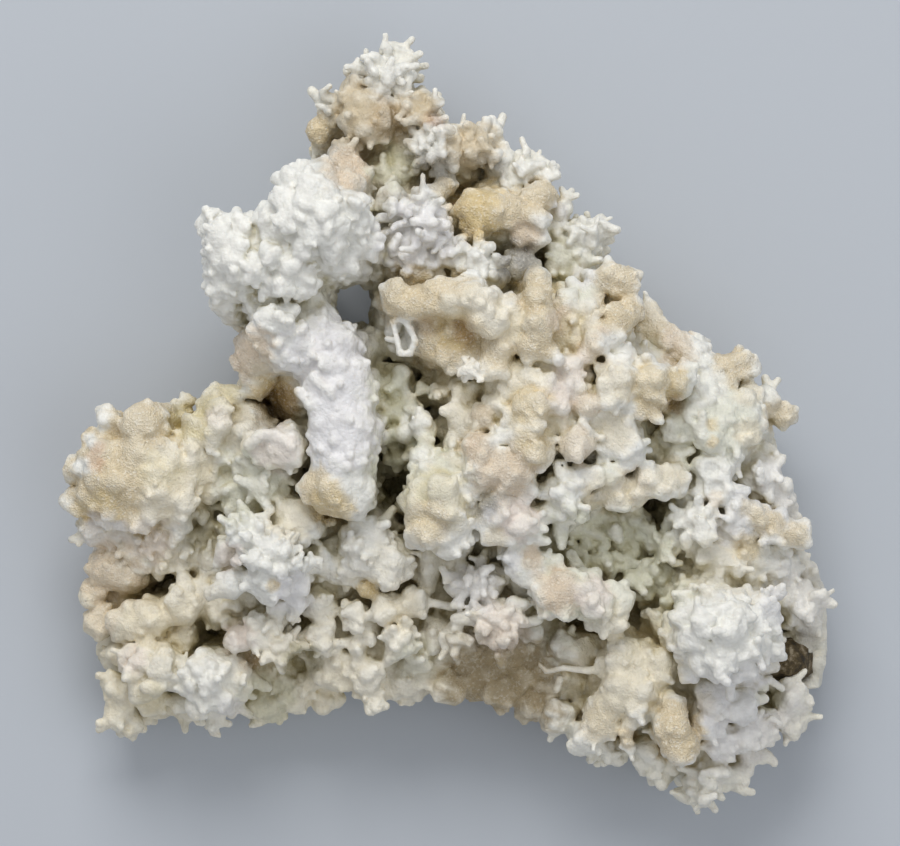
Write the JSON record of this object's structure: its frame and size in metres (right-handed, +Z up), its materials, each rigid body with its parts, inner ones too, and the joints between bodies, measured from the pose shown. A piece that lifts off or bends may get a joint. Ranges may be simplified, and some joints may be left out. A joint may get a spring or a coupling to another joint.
{
  "type": "calcite mineral specimen",
  "caption": "Branching coral-like cave calcite cluster, white and tan, with knobs, tufts and smooth tubes, lying on its broken back.",
  "frame": {"origin": "on the surface that the cluster lies on, under the middle of its bounding box", "axes": "+X to the right and +Y to the top of the picture's view, +Z up, out of the surface"},
  "size_m": [0.3067, 0.3045, 0.1236],
  "materials": {
    "calcite": "satin white to sugary tan calcite",
    "host_rock": "rough dark brown rock"
  },
  "bodies": {
    "root": {"calcite": "calcite", "host_rock": "host_rock"}
  },
  "joints": []
}
